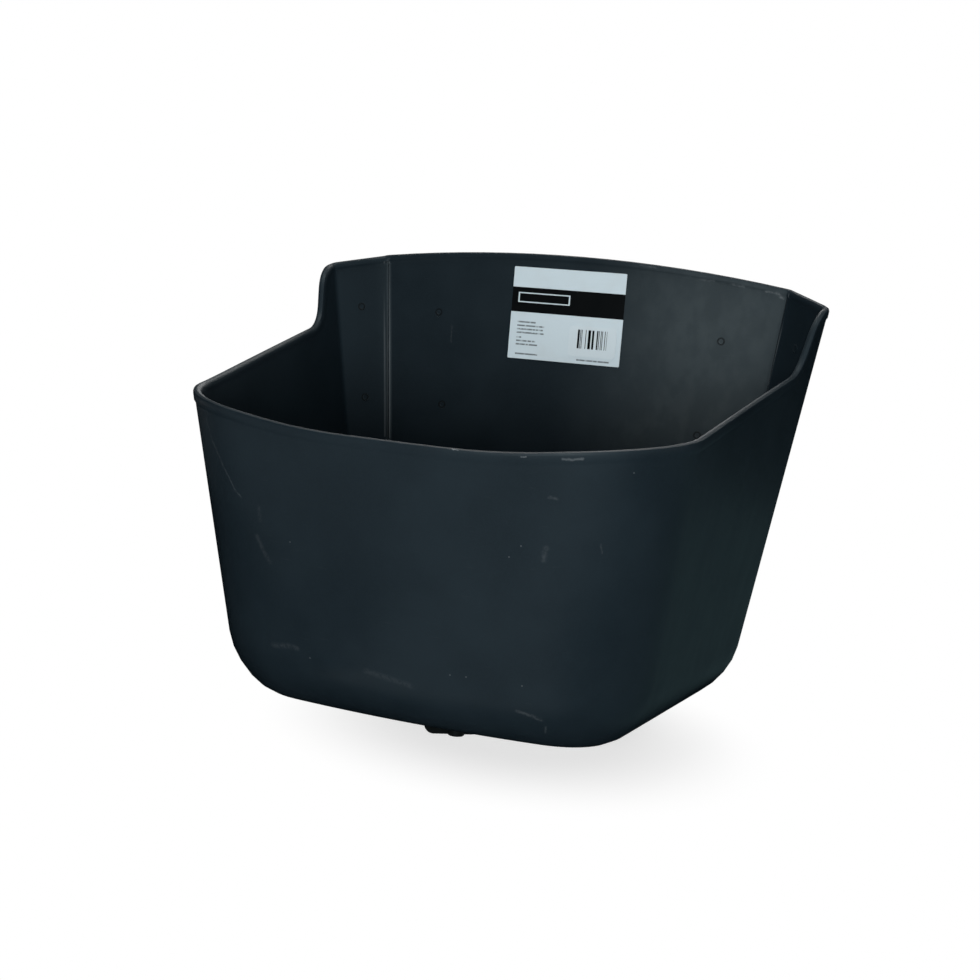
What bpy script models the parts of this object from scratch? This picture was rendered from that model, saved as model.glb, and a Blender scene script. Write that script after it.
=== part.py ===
"""Wall and corner feed trough: a one-piece moulded shell with a screwed drain plug and two stickers.

Lengths are in metres and +Z is up. The trough is drawn with its flat back face on the plane Y = 0 and
its front towards -Y, its underside at Z = 0 and its plane of symmetry at X = 0. Empties then carry
everything, so that the world origin is the centre of the bounding box's bottom face.
"""
import math

import bpy
import bmesh
from mathutils import Matrix, Vector

# Shell, sizes of the outside at the underside (BASE) and at the height of the front corners (RIM)
FRONT_CORNER_HEIGHT = 0.198
BACK_HALF_WIDTH_BASE = 0.1309
BACK_HALF_WIDTH_RIM = 0.1513
PANEL_DEPTH_BASE = 0.0178
PANEL_DEPTH_RIM = 0.0289
DEPTH_BASE = 0.2878
DEPTH_RIM = 0.3397
BOW_RADIUS_BASE = 0.553
BOW_RADIUS_RIM = 0.521
FRONT_CORNER_RADIUS_BASE = 0.0689
FRONT_CORNER_RADIUS_RIM = 0.0746
SIDE_ANGLE_BASE = 2.55
SIDE_ANGLE_RIM = 3.4
PANEL_ANGLE = 45.0
REAR_CORNER_RADIUS = 0.009
WALL = 0.0038
FLOOR = 0.004

# Flat foot that the walls curve down to: its gaps to their lower edges, and the height of the curve
FOOT_BACK_GAP = 0.028
FOOT_SIDE_GAP = 0.0273
FOOT_FRONT_GAP = 0.0361
FOOT_PANEL_DEPTH = 0.014
FOOT_BOW_RADIUS = 0.586
FOOT_CORNER_RADIUS = 0.0277
FOOT_REAR_RADIUS = 0.008
FOOT_CURVE_HEIGHT = 0.0402

# Top edge: an arch along the back, a steep drop in each side wall, then a long fall to the front
BACK_HEIGHT = 0.3128
CREASE_HEIGHT = 0.3014
DROP_TOP_HEIGHT = 0.2847
DROP_TOP_DISTANCE = 0.0615
DROP_TOP_RADIUS = 0.0296
DROP_FOOT_HEIGHT = 0.2427
DROP_FOOT_DISTANCE = 0.0760
DROP_FOOT_RADIUS = 0.0262
SIDE_END_HEIGHT = 0.2014
SIDE_END_RADIUS = 0.244
FRONT_HEIGHT = 0.1833
FRONT_FLAT_HALF_LENGTH = 0.0638
FRONT_FLAT_RADIUS = 0.475

# Rounded bead along the top edge
RIM_WIDTH = 0.0053
RIM_ROUND = 0.0022
LIP = 0.0008
LIP_HEIGHT = 0.0065
LIP_RUNOUT = 0.0016
INNER_BEAD_HEIGHT = 0.0045
INNER_BEAD_RUNOUT = 0.0025

# Strip with a fine groove where the back wall meets each 45 degree panel, seen from inside
CREASE_STRIP_WIDTH = 0.0055
CREASE_GROOVE_WIDTH = 0.0012
CREASE_GROOVE_DEPTH = 0.0008

# Raised rings inside that mark where to drill the screw holes, hung from the top edge at the crease
MARK_RADIUS = 0.0028
MARK_LINE = 0.0006
MARK_PROUD = 0.0004
MARK_ROOT = 0.0010
MARK_CREASE_DROP = 0.0419
MARK_ROW_SPACING = 0.0705
MARK_UPPER_X = 0.1128
MARK_LOWER_X = 0.1027
PANEL_MARK_SHARE = 0.48

# Drain, set back from the foot's front: hole, dished seat and boss, plug, seal and wing nut
DRAIN_FRONT_GAP = 0.0744
DRAIN_HOLE_RADIUS = 0.014
SEAT_RADIUS = 0.033
SEAT_SLOPE_WIDTH = 0.006
SEAT_DEPTH = 0.0016
BOSS_RADIUS = 0.024
BOSS_HEIGHT = 0.002
SEAT_GAP = 0.0003
HOLE_CLEARANCE = 0.0006
THREAD_CLEARANCE = 0.0003
SEAL_OUTER_RADIUS = 0.0200
SEAL_THICKNESS = 0.0030
SEAL_ROUND = 0.0008
SEAL_CLEARANCE = 0.0004
FLANGE_RADIUS = 0.0220
FLANGE_THICKNESS = 0.0040
FLANGE_ROUND = 0.0015
GRIP_LENGTH = 0.0340
GRIP_WIDTH = 0.0080
GRIP_HEIGHT = 0.0130
GRIP_ROUND = 0.0030
PLUG_BODY_SHORTFALL = 0.0006
STEM_RADIUS = 0.0030
STEM_EDGE = 0.0006
STEM_RECESS = 0.0008
NUT_REACH = 0.0231
NUT_PLATE_RADIUS = 0.0190
NUT_PLATE_THICKNESS = 0.0032
NUT_PLATE_EDGE = 0.0008
NUT_FILLET = 0.0020
HUB_RADIUS = 0.0059
HUB_EDGE = 0.0008
BORE_EDGE = 0.0006
WING_HALF_SPAN = 0.0225
WING_THICKNESS = 0.0032
WING_TOP_DEPTH = 0.0090
HUB_PROUD = 0.0008
WING_TOP_CORNER = 0.0025
WING_BOTTOM_CORNER = 0.0065
WING_EDGE = 0.0007
NUT_TURN = 36.0

# Stickers on the inside of the back wall
STICKER_GAP = 0.0003
LABEL_WIDTH = 0.0895
LABEL_HEIGHT = 0.0700
LABEL_X = -0.0074
LABEL_BEAD_GAP = 0.0018
LABEL_THICKNESS = 0.0004
LABEL_CORNER = 0.0008
LABEL_TURN = 0.8
TAG_WIDTH = 0.0376
TAG_HEIGHT = 0.0231
TAG_X = 0.0224
TAG_Z = -0.0179
TAG_THICKNESS = 0.0003
TAG_CORNER = 0.0030

# One overrun serves all cuts
OVERRUN = 0.002

# Numbers of divisions
BACK_STEPS = 8
PANEL_STEPS = 4
REAR_CORNER_STEPS = 5
DROP_ARC_STEPS = 7
DROP_RUN_STEPS = 2
SIDE_STEPS = 7
FRONT_CORNER_STEPS = 10
FRONT_STEPS = 11
FOOT_CURVE_STEPS = 6
BEAD_ARC_STEPS = 2
ROUND_STEPS = 40
MARK_STEPS = 12
WING_CORNER_STEPS = 6
CORNER_STEPS = 4

SMOOTH_ANGLE = 32.0

# The groove's sides as shares of the strip's width
GROOVE_SHARE = CREASE_GROOVE_WIDTH / CREASE_STRIP_WIDTH
STRIP_SHARES = (0.0, 0.5 - GROOVE_SHARE / 2, 0.5, 0.5 + GROOVE_SHARE / 2)

STRETCHES = ("back", "strip", "panel", "rear", "side", "corner", "front")


def clear_scene():
    for thing in list(bpy.data.objects):
        bpy.data.objects.remove(thing, do_unlink=True)


def material(name, colour, roughness, metallic=0.0):
    made = bpy.data.materials.new(name)
    made.use_nodes = True
    shader = made.node_tree.nodes["Principled BSDF"]
    shader.inputs["Base Color"].default_value = (*colour, 1.0)
    shader.inputs["Roughness"].default_value = roughness
    shader.inputs["Metallic"].default_value = metallic
    return made


def object_from(name, builder, finish=None):
    """An object from a finished bmesh, shaded smooth with its sharp edges kept."""
    bmesh.ops.recalc_face_normals(builder, faces=builder.faces)
    mesh = bpy.data.meshes.new(name)
    builder.to_mesh(mesh)
    builder.free()
    made = bpy.data.objects.new(name, mesh)
    bpy.context.scene.collection.objects.link(made)
    if finish is not None:
        mesh.materials.append(finish)
    mesh.shade_smooth()
    mesh.set_sharp_from_angle(angle=math.radians(SMOOTH_ANGLE))
    return made


def skin(rings, capped=True):
    """A closed loft through rings of equal point counts. Uncapped, the last ring joins the first."""
    builder = bmesh.new()
    loops = [[builder.verts.new(point) for point in ring] for ring in rings]
    pairs = list(zip(loops, loops[1:]))
    if not capped:
        pairs.append((loops[-1], loops[0]))
    for lower, upper in pairs:
        for here in range(len(lower)):
            after = (here + 1) % len(lower)
            builder.faces.new((lower[here], lower[after], upper[after], upper[here]))
    if capped:
        builder.faces.new(list(reversed(loops[0])))
        builder.faces.new(loops[-1])
    return builder


def circle(radius, height, steps=ROUND_STEPS):
    """Points of a level circle about the Z axis."""
    turns = [math.tau * k / steps for k in range(steps)]
    return [Vector((radius * math.cos(turn), radius * math.sin(turn), height)) for turn in turns]


def arc(centre, radius, start, end, steps):
    """Profile points (radius, height) along an arc, both ends included, angles in degrees."""
    turns = [math.radians(start + (end - start) * k / steps) for k in range(steps + 1)]
    return [(centre[0] + radius * math.cos(a), centre[1] + radius * math.sin(a)) for a in turns]


def boolean(target, cutter, operation):
    """Adds an exact boolean to the target and hides the tool object."""
    cutter.hide_render = True
    cutter.display_type = "WIRE"
    change = target.modifiers.new(cutter.name, "BOOLEAN")
    change.object = cutter
    change.operation = operation
    change.solver = "EXACT"


# Plan outline of the walls

def between(base, rim, height):
    return base + (rim - base) * height / FRONT_CORNER_HEIGHT


def direction(degrees):
    """Unit vector in plan, measured from +X towards +Y."""
    return Vector((math.cos(math.radians(degrees)), math.sin(math.radians(degrees))))


def meet(normal_1, reach_1, normal_2, reach_2):
    """The point that two lines share, each given by its normal and its reach along it."""
    solved = Matrix((normal_1, normal_2)).inverted() @ Vector((reach_1, reach_2))
    return solved


class Plan:
    """The half outline at one level, moved inwards by an inset, from the back's centre to the front's."""

    def __init__(self, half_width, panel, depth, bow, corner, rear, side_angle, back_gap, inset):
        self.back_line = -back_gap - inset
        back_normal = direction(90)
        panel_normal = direction(PANEL_ANGLE)
        strip_normal = direction((90 + PANEL_ANGLE) / 2)
        side_normal = direction(-side_angle)
        crease = Vector((half_width, -back_gap))
        panel_end = crease + Vector((panel, -panel))
        half_turn = math.radians((90 - PANEL_ANGLE) / 2)
        strip_cut = (CREASE_STRIP_WIDTH / 2 * math.tan(half_turn) + WALL * (1 / math.cos(half_turn) - 1))
        panel_reach = panel_normal.dot(crease)
        strip_reach = strip_normal.dot(crease) - strip_cut
        side_reach = side_normal.dot(panel_end)
        self.strip_start = meet(back_normal, -back_gap - inset, strip_normal, strip_reach - inset)
        self.strip_end = meet(strip_normal, strip_reach - inset, panel_normal, panel_reach - inset)
        self.rear_centre = meet(panel_normal, panel_reach - rear, side_normal, side_reach - rear)
        self.rear_radius = rear - inset
        self.bow_centre = Vector((0.0, bow - depth))
        self.bow_radius = bow - inset
        self.corner_radius = corner - inset
        self.side_angle = side_angle
        along = Vector((side_normal.y, -side_normal.x))
        foot = side_normal * (side_reach - corner)
        gap = foot - self.bow_centre
        drop = gap.dot(along)
        run = -drop + math.sqrt(drop * drop - gap.dot(gap) + (bow - corner) ** 2)
        self.corner_centre = foot + along * run
        towards = self.corner_centre - self.bow_centre
        self.bow_angle = math.degrees(math.atan2(towards.y, towards.x))
        self.side_start = self.rear_centre + side_normal * self.rear_radius
        self.side_end = self.corner_centre + side_normal * self.corner_radius
        self.panel_end = self.rear_centre + panel_normal * self.rear_radius

    def lengths(self):
        """Length of each stretch of the half outline."""
        return {
            "back": self.strip_start.x,
            "strip": (self.strip_end - self.strip_start).length,
            "panel": (self.panel_end - self.strip_end).length,
            "rear": self.rear_radius * math.radians(PANEL_ANGLE + self.side_angle),
            "side": (self.side_end - self.side_start).length,
            "corner": self.corner_radius * math.radians(-self.side_angle - self.bow_angle),
            "front": self.bow_radius * math.radians(self.bow_angle + 90),
        }

    def point(self, stretch, share):
        """Point at a share of one stretch."""
        if stretch == "back":
            return Vector((self.strip_start.x * share, self.back_line))
        if stretch == "strip":
            return self.strip_start.lerp(self.strip_end, share)
        if stretch == "panel":
            return self.strip_end.lerp(self.panel_end, share)
        if stretch == "rear":
            angle = PANEL_ANGLE - (PANEL_ANGLE + self.side_angle) * share
            return self.rear_centre + direction(angle) * self.rear_radius
        if stretch == "side":
            return self.side_start.lerp(self.side_end, share)
        if stretch == "corner":
            angle = -self.side_angle + (self.bow_angle + self.side_angle) * share
            return self.corner_centre + direction(angle) * self.corner_radius
        angle = self.bow_angle - (90 + self.bow_angle) * share
        return self.bow_centre + direction(angle) * self.bow_radius


def wall_plan(height, inset):
    """Outline of the walls, which lean outwards evenly from the underside up."""
    return Plan(
        between(BACK_HALF_WIDTH_BASE, BACK_HALF_WIDTH_RIM, height),
        between(PANEL_DEPTH_BASE, PANEL_DEPTH_RIM, height),
        between(DEPTH_BASE, DEPTH_RIM, height),
        between(BOW_RADIUS_BASE, BOW_RADIUS_RIM, height),
        between(FRONT_CORNER_RADIUS_BASE, FRONT_CORNER_RADIUS_RIM, height),
        REAR_CORNER_RADIUS,
        between(SIDE_ANGLE_BASE, SIDE_ANGLE_RIM, height),
        0.0,
        inset,
    )


def foot_plan():
    """Outline of the flat foot."""
    return Plan(BACK_HALF_WIDTH_BASE - FOOT_SIDE_GAP, FOOT_PANEL_DEPTH, DEPTH_BASE - FOOT_FRONT_GAP,
                FOOT_BOW_RADIUS, FOOT_CORNER_RADIUS, FOOT_REAR_RADIUS, SIDE_ANGLE_BASE, FOOT_BACK_GAP, 0.0)


# Path along the top edge: distances are measured from the back's centre at the front corners' height
REFERENCE = wall_plan(FRONT_CORNER_HEIGHT, 0.0).lengths()
STARTS = {name: sum(REFERENCE[earlier] for earlier in STRETCHES[:k]) for k, name in enumerate(STRETCHES)}
HALF_LENGTH = sum(REFERENCE.values())
PANEL_START = STARTS["strip"] + REFERENCE["strip"] / 2


def place(distance):
    """Stretch and share at a distance along the path."""
    for name in reversed(STRETCHES):
        if distance >= STARTS[name] or name == "back":
            return name, (distance - STARTS[name]) / REFERENCE[name]
    return "back", 0.0


class Edge:
    """The top edge unrolled: straight runs joined by round corners, as height over distance."""

    def __init__(self):
        corners = (
            (PANEL_START, CREASE_HEIGHT, 0.0),
            (PANEL_START + DROP_TOP_DISTANCE, DROP_TOP_HEIGHT, DROP_TOP_RADIUS),
            (PANEL_START + DROP_FOOT_DISTANCE, DROP_FOOT_HEIGHT, DROP_FOOT_RADIUS),
            (STARTS["corner"], SIDE_END_HEIGHT, SIDE_END_RADIUS),
            (HALF_LENGTH - FRONT_FLAT_HALF_LENGTH, FRONT_HEIGHT, FRONT_FLAT_RADIUS),
            (HALF_LENGTH, FRONT_HEIGHT, 0.0),
        )
        points = [Vector(corner[:2]) for corner in corners]
        self.rounds = []
        for k in range(1, len(corners) - 1):
            before = (points[k - 1] - points[k]).normalized()
            after = (points[k + 1] - points[k]).normalized()
            half = before.angle(after) / 2
            radius = corners[k][2]
            cut = radius / math.tan(half)
            centre = points[k] + (before + after).normalized() * (radius / math.sin(half))
            self.rounds.append((centre, radius, points[k] + before * cut, points[k] + after * cut))
        self.first = points[0]
        self.last = points[-1]

    def height(self, distance):
        """Height of the edge and its slope at a distance along the path."""
        if distance < PANEL_START:
            share = distance / PANEL_START
            fall = BACK_HEIGHT - CREASE_HEIGHT
            return BACK_HEIGHT - fall * share ** 2, -2 * fall * share / PANEL_START
        start = self.first
        for centre, radius, into, out in self.rounds:
            if distance < into.x:
                slope = (into.y - start.y) / (into.x - start.x)
                return start.y + slope * (distance - start.x), slope
            if distance < out.x:
                across = distance - centre.x
                rise = math.sqrt(radius ** 2 - across ** 2)
                if centre.y > into.y:
                    return centre.y - rise, across / rise
                return centre.y + rise, -across / rise
            start = out
        return self.last.y, 0.0


EDGE = Edge()


def columns():
    """Distances of the half outline's columns, closer where the top edge or the plan turns."""
    found = [STARTS["back"] + REFERENCE["back"] * k / BACK_STEPS for k in range(BACK_STEPS)]
    found += [STARTS["strip"] + REFERENCE["strip"] * share for share in STRIP_SHARES]
    found += [STARTS["panel"] + REFERENCE["panel"] * k / PANEL_STEPS for k in range(PANEL_STEPS)]
    found += [STARTS["rear"] + REFERENCE["rear"] * k / REAR_CORNER_STEPS for k in range(REAR_CORNER_STEPS)]
    top_round, foot_round = EDGE.rounds[0], EDGE.rounds[1]
    drop = [STARTS["side"]]
    drop += arc_distances(top_round, DROP_ARC_STEPS)
    run_start, run_end = top_round[3].x, foot_round[2].x
    drop += [run_start + (run_end - run_start) * k / DROP_RUN_STEPS for k in range(1, DROP_RUN_STEPS)]
    drop += arc_distances(foot_round, DROP_ARC_STEPS)
    found += [distance for distance in drop if distance >= STARTS["side"]]
    side_start, side_end = foot_round[3].x, STARTS["corner"]
    found += [side_start + (side_end - side_start) * k / SIDE_STEPS for k in range(1, SIDE_STEPS)]
    corner_shares = [k / FRONT_CORNER_STEPS for k in range(FRONT_CORNER_STEPS)]
    found += [STARTS["corner"] + REFERENCE["corner"] * share for share in corner_shares]
    found += [STARTS["front"] + REFERENCE["front"] * k / FRONT_STEPS for k in range(FRONT_STEPS + 1)]
    return found


def arc_distances(rounded, steps):
    """Distances of evenly turned points along one round corner of the top edge."""
    centre, radius, into, out = rounded
    start = math.atan2(into.y - centre.y, into.x - centre.x)
    end = math.atan2(out.y - centre.y, out.x - centre.x)
    return [centre.x + radius * math.cos(start + (end - start) * k / steps) for k in range(steps + 1)]


def both_sides(half):
    """A whole ring from its half on +X, whose first and last points lie on the plane of symmetry."""
    return half + [Vector((-p.x, p.y, p.z)) for p in reversed(half[1:-1])]


def lip_at(distance):
    """How far the bead stands out: nothing on the faces that lie against a wall."""
    share = (distance - STARTS["rear"]) / REFERENCE["rear"]
    return LIP * min(max(share, 0.0), 1.0)


def wall_point(distance, height, inset):
    stretch, share = place(distance)
    flat = wall_plan(height, inset).point(stretch, share)
    return Vector((flat.x, flat.y, height))


def bead_section(distance):
    """The bead as (inset, depth below the top edge), from the outside over the top to the inside."""
    lip = lip_at(distance)
    inner = RIM_WIDTH - lip
    points = [(0.0, LIP_HEIGHT + LIP_RUNOUT), (-lip, LIP_HEIGHT)]
    for k in range(BEAD_ARC_STEPS + 1):
        turn = math.pi / 2 * k / BEAD_ARC_STEPS
        points.append((-lip + RIM_ROUND * (1 - math.cos(turn)), RIM_ROUND * (1 - math.sin(turn))))
    for k in range(BEAD_ARC_STEPS + 1):
        turn = math.pi / 2 * (1 - k / BEAD_ARC_STEPS)
        points.append((inner - RIM_ROUND * (1 - math.cos(turn)), RIM_ROUND * (1 - math.sin(turn))))
    points.append((inner, INNER_BEAD_HEIGHT))
    points.append((WALL, INNER_BEAD_HEIGHT + INNER_BEAD_RUNOUT))
    return points


def groove_at(distance):
    """Depth of the crease groove at a column: only the strip's middle column has it."""
    stretch, share = place(distance)
    in_middle = stretch == "strip" and abs(share - 0.5) < GROOVE_SHARE / 4
    return CREASE_GROOVE_DEPTH if in_middle else 0.0


def shell_rings():
    """Rings from the underside, up the outside, over the bead and down the inside to the floor."""
    path = columns()
    foot = foot_plan()
    feet = [foot.point(*place(distance)) for distance in path]

    def foot_curve(inset, bottom, turn):
        height = FOOT_CURVE_HEIGHT - (FOOT_CURVE_HEIGHT - bottom) * math.sin(turn)
        half = []
        for distance, stand in zip(path, feet):
            groove = groove_at(distance) if inset > 0 else 0.0
            wall = wall_point(distance, height, inset - groove)
            flat = stand.lerp(wall.xy, math.cos(turn))
            half.append(Vector((flat.x, flat.y, height)))
        return both_sides(half)

    def bead_ring(index):
        half = []
        for distance in path:
            inset, depth = bead_section(distance)[index]
            top, slope = EDGE.height(distance)
            steep = math.hypot(1.0, slope)
            along = distance + slope * depth / steep
            if distance in (path[0], path[-1]):
                along = distance
            groove = groove_at(distance) if index == len(bead_section(distance)) - 1 else 0.0
            half.append(wall_point(along, top - depth / steep, inset - groove))
        return both_sides(half)

    turns = [math.pi / 2 * k / FOOT_CURVE_STEPS for k in range(FOOT_CURVE_STEPS + 1)]
    rings = [foot_curve(0.0, 0.0, turn) for turn in reversed(turns)]
    rings += [bead_ring(index) for index in range(len(bead_section(0.0)))]
    rings += [foot_curve(WALL, FLOOR, turn) for turn in turns]
    return rings


# Shell and what is moulded on it

def ring_mark(name, centre, normal):
    """A short tube standing on a wall: its axis is the wall's inner normal."""
    section = ((MARK_RADIUS, -MARK_ROOT), (MARK_RADIUS, MARK_PROUD),
               (MARK_RADIUS - MARK_LINE, MARK_PROUD), (MARK_RADIUS - MARK_LINE, -MARK_ROOT))
    made = object_from(name, skin([circle(r, z, MARK_STEPS) for r, z in section], capped=False))
    made.rotation_mode = "QUATERNION"
    made.rotation_quaternion = normal.to_track_quat("Z", "Y")
    made.location = centre
    return made


def panel_mark_place(height, side):
    """Centre and inward normal of a mark on one 45 degree panel's inner face."""
    plan = wall_plan(height, WALL)
    above = wall_plan(height + OVERRUN, WALL)
    here = plan.point("panel", PANEL_MARK_SHARE)
    higher = above.point("panel", PANEL_MARK_SHARE)
    forward = plan.point("panel", 1.0)
    across = Vector((forward.x - here.x, forward.y - here.y, 0.0))
    upward = Vector((higher.x - here.x, higher.y - here.y, OVERRUN))
    normal = across.cross(upward).normalized()
    if normal.y > 0:
        normal = -normal
    return Vector((side * here.x, here.y, height)), Vector((side * normal.x, normal.y, normal.z))


def drill_marks(carrier):
    """Eight ring marks: four on the back wall and two on each panel."""
    marks = []
    upper = CREASE_HEIGHT - MARK_CREASE_DROP
    for height, reach in ((upper, MARK_UPPER_X), (upper - MARK_ROW_SPACING, MARK_LOWER_X)):
        for side in (-1, 1):
            marks.append((Vector((side * reach, -WALL, height)), Vector((0, -1, 0))))
            marks.append(panel_mark_place(height, side))
    for number, (centre, normal) in enumerate(marks):
        mark = ring_mark(f"mark_tool_{number}", centre, normal)
        mark.parent = carrier
        yield mark


def tool_disc(name, profile, drain, carrier):
    """A turned tool object on the drain's axis, from (radius, height) pairs."""
    made = object_from(name, skin([circle(r, z) for r, z in profile]))
    made.location = drain
    made.parent = carrier
    return made


def trough_shell(carrier, drain, finish):
    """The moulded shell with its drain hole, dished seat, boss and drill marks."""
    shell = object_from("trough_shell", skin(shell_rings()), finish)
    shell.parent = carrier
    boss = tool_disc("boss_tool", ((BOSS_RADIUS, -BOSS_HEIGHT), (BOSS_RADIUS, FLOOR / 2)), drain, carrier)
    boolean(shell, boss, "UNION")
    seat_height = FLOOR - SEAT_DEPTH
    slope = SEAT_SLOPE_WIDTH / SEAT_DEPTH
    seat = tool_disc("seat_tool", ((SEAT_RADIUS - SEAT_SLOPE_WIDTH, seat_height),
                                   (SEAT_RADIUS + OVERRUN * slope, FLOOR + OVERRUN)), drain, carrier)
    boolean(shell, seat, "DIFFERENCE")
    hole = tool_disc("hole_tool", ((DRAIN_HOLE_RADIUS, -BOSS_HEIGHT - OVERRUN),
                                   (DRAIN_HOLE_RADIUS, FLOOR + OVERRUN)), drain, carrier)
    boolean(shell, hole, "DIFFERENCE")
    for mark in drill_marks(carrier):
        boolean(shell, mark, "UNION")
    return shell


# Drain fittings, drawn about the drain's axis with the shell's underside at zero

def turned(name, profile, finish, carrier):
    """A solid of revolution from (radius, height) pairs, its first and last rings capped."""
    made = object_from(name, skin([circle(r, z) for r, z in profile]), finish)
    made.parent = carrier
    return made


def turned_ring(name, profile, finish, carrier):
    """A ring of revolution from a closed section of (radius, height) pairs."""
    made = object_from(name, skin([circle(r, z) for r, z in profile], capped=False), finish)
    made.parent = carrier
    return made


DRAIN_DISTANCE = DEPTH_BASE - FOOT_FRONT_GAP - DRAIN_FRONT_GAP
SEAL_BOTTOM = FLOOR - SEAT_DEPTH + SEAT_GAP
FLANGE_BOTTOM = SEAL_BOTTOM + SEAL_THICKNESS + SEAT_GAP
PLUG_BODY_RADIUS = DRAIN_HOLE_RADIUS - HOLE_CLEARANCE
STEM_REACH = NUT_REACH - STEM_RECESS
WING_BOTTOM_DEPTH = NUT_REACH - HUB_PROUD


def drain_plug(carrier, finish):
    """Plug with its flange and finger grip inside the bowl and its stem below."""
    flange_top = FLANGE_BOTTOM + FLANGE_THICKNESS
    profile = [
        (STEM_RADIUS - STEM_EDGE, -STEM_REACH),
        (STEM_RADIUS, -STEM_REACH + STEM_EDGE),
        (STEM_RADIUS, -BOSS_HEIGHT + PLUG_BODY_SHORTFALL),
        (PLUG_BODY_RADIUS, -BOSS_HEIGHT + PLUG_BODY_SHORTFALL),
        (PLUG_BODY_RADIUS, FLANGE_BOTTOM),
        (FLANGE_RADIUS, FLANGE_BOTTOM),
    ]
    edge_centre = (FLANGE_RADIUS - FLANGE_ROUND, flange_top - FLANGE_ROUND)
    profile += arc(edge_centre, FLANGE_ROUND, 0, 90, CORNER_STEPS)
    plug = turned("drain_plug", profile, finish, carrier)
    grip = finger_grip(flange_top)
    grip.parent = carrier
    boolean(plug, grip, "UNION")
    return plug


def finger_grip(flange_top):
    """An upright bar with rounded ends and a rounded top, rooted in the flange."""
    root = flange_top - FLANGE_THICKNESS / 2
    top = flange_top + GRIP_HEIGHT
    rings = [slot(GRIP_LENGTH, GRIP_WIDTH, root), slot(GRIP_LENGTH, GRIP_WIDTH, top - GRIP_ROUND)]
    for k in range(1, CORNER_STEPS + 1):
        turn = math.pi / 2 * k / CORNER_STEPS
        shrink = 2 * GRIP_ROUND * (1 - math.cos(turn))
        height = top - GRIP_ROUND * (1 - math.sin(turn))
        rings.append(slot(GRIP_LENGTH - shrink, GRIP_WIDTH - shrink, height))
    return object_from("grip_tool", skin(rings))


def slot(length, width, height):
    """A level ring with two half-round ends."""
    radius = width / 2
    straight = length / 2 - radius
    ring = []
    for side in (1, -1):
        for k in range(CORNER_STEPS * 2 + 1):
            turn = math.radians(-90 + 180 * k / (CORNER_STEPS * 2))
            along = side * (straight + radius * math.cos(turn))
            ring.append(Vector((along, side * radius * math.sin(turn), height)))
    return ring


def plug_seal(carrier, finish):
    """Rubber ring between the plug's flange and the seat."""
    inner = PLUG_BODY_RADIUS + SEAL_CLEARANCE
    top = SEAL_BOTTOM + SEAL_THICKNESS
    corners = ((SEAL_OUTER_RADIUS, SEAL_BOTTOM, -1, 1), (SEAL_OUTER_RADIUS, top, -1, -1))
    profile = [(inner, SEAL_BOTTOM)]
    for radius, height, inward, towards in corners:
        first = (radius + inward * SEAL_ROUND, height)
        second = (radius, height + towards * SEAL_ROUND)
        profile += [first, second] if towards > 0 else [second, first]
    profile.append((inner, top))
    return turned_ring("plug_seal", profile, finish, carrier)


def wing_outline(inset):
    """Both wings as one plate seen from the side: (along, height) points, large round corners below."""
    upper, lower = WING_TOP_CORNER, WING_BOTTOM_CORNER
    corners = (
        (WING_HALF_SPAN - upper, -WING_TOP_DEPTH - upper, upper, 0),
        (-WING_HALF_SPAN + upper, -WING_TOP_DEPTH - upper, upper, 90),
        (-WING_HALF_SPAN + lower, -WING_BOTTOM_DEPTH + lower, lower, 180),
        (WING_HALF_SPAN - lower, -WING_BOTTOM_DEPTH + lower, lower, 270),
    )
    points = []
    for along, height, radius, start in corners:
        points += arc((along, height), radius - inset, start, start + 90, WING_CORNER_STEPS)
    return points


def wings():
    """The plate of the two wings, its long edges bevelled."""
    half = WING_THICKNESS / 2
    levels = ((-half, WING_EDGE), (-half + WING_EDGE, 0.0), (half - WING_EDGE, 0.0), (half, WING_EDGE))
    rings = [[Vector((along, y, height)) for along, height in wing_outline(inset)] for y, inset in levels]
    return object_from("wings_tool", skin(rings))


def drain_nut(carrier, finish):
    """Wing nut that clamps the plug from below: a round plate, a hub and two wings."""
    top = -BOSS_HEIGHT - SEAT_GAP
    plate = top - NUT_PLATE_THICKNESS
    bore = STEM_RADIUS + THREAD_CLEARANCE
    profile = [
        (HUB_RADIUS - HUB_EDGE, -NUT_REACH),
        (HUB_RADIUS, -NUT_REACH + HUB_EDGE),
    ]
    fillet_centre = (HUB_RADIUS + NUT_FILLET, plate - NUT_FILLET)
    profile += reversed(arc(fillet_centre, NUT_FILLET, 90, 180, CORNER_STEPS))
    profile += [
        (NUT_PLATE_RADIUS - NUT_PLATE_EDGE, plate),
        (NUT_PLATE_RADIUS, plate + NUT_PLATE_EDGE),
        (NUT_PLATE_RADIUS, top - NUT_PLATE_EDGE),
        (NUT_PLATE_RADIUS - NUT_PLATE_EDGE, top),
    ]
    nut = turned("drain_nut", profile, finish, carrier)
    plates = wings()
    drill = object_from("bore_tool", skin([circle(r, z) for r, z in (
        (bore + BORE_EDGE + OVERRUN, -NUT_REACH - OVERRUN),
        (bore, -NUT_REACH + BORE_EDGE),
        (bore, top - BORE_EDGE),
        (bore + BORE_EDGE + OVERRUN, top + OVERRUN),
    )]))
    for tool, operation in ((plates, "UNION"), (drill, "DIFFERENCE")):
        tool.parent = carrier
        boolean(nut, tool, operation)
    return nut


# Stickers

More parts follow.
